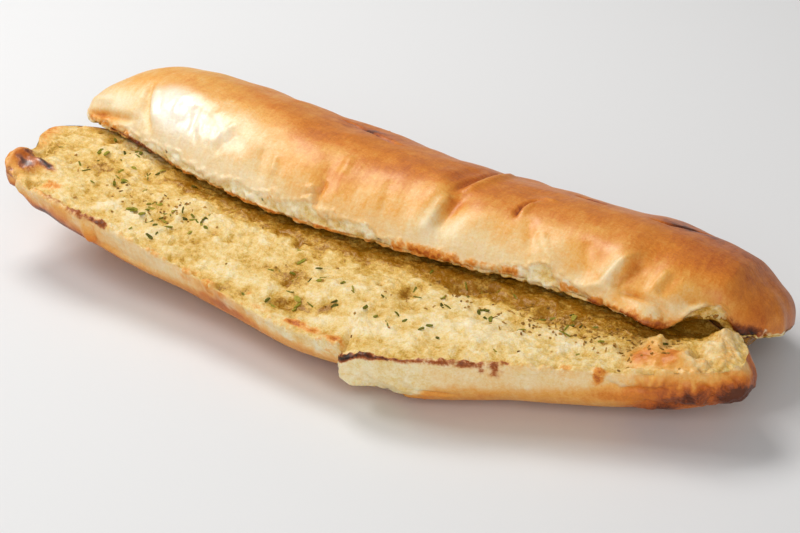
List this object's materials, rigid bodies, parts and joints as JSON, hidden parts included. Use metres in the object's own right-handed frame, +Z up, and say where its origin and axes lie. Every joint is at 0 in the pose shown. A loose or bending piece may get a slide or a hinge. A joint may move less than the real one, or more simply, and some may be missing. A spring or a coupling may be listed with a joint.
{
  "type": "garlic bread",
  "caption": "Long soft roll split lengthwise as garlic bread: buttered, herbed bottom half cut face up, golden crusted top half slid back and leaning on it.",
  "frame": {"origin": "on the resting surface, at the middle of the roll's box", "axes": "+X along the roll towards its thick, blunt end, +Y to the back, where the top half leans down, +Z up"},
  "size_m": [0.2804, 0.1289, 0.0533],
  "materials": {
    "buttered_crumb": "soft toasted bread crumb with butter, moist in places",
    "golden_crust": "thin golden-brown baked crust, satin to glossy",
    "herbs": "dried herb flakes, dull"
  },
  "bodies": {
    "root": {"bottom_half": "buttered_crumb", "top_half": "golden_crust"}
  },
  "joints": []
}
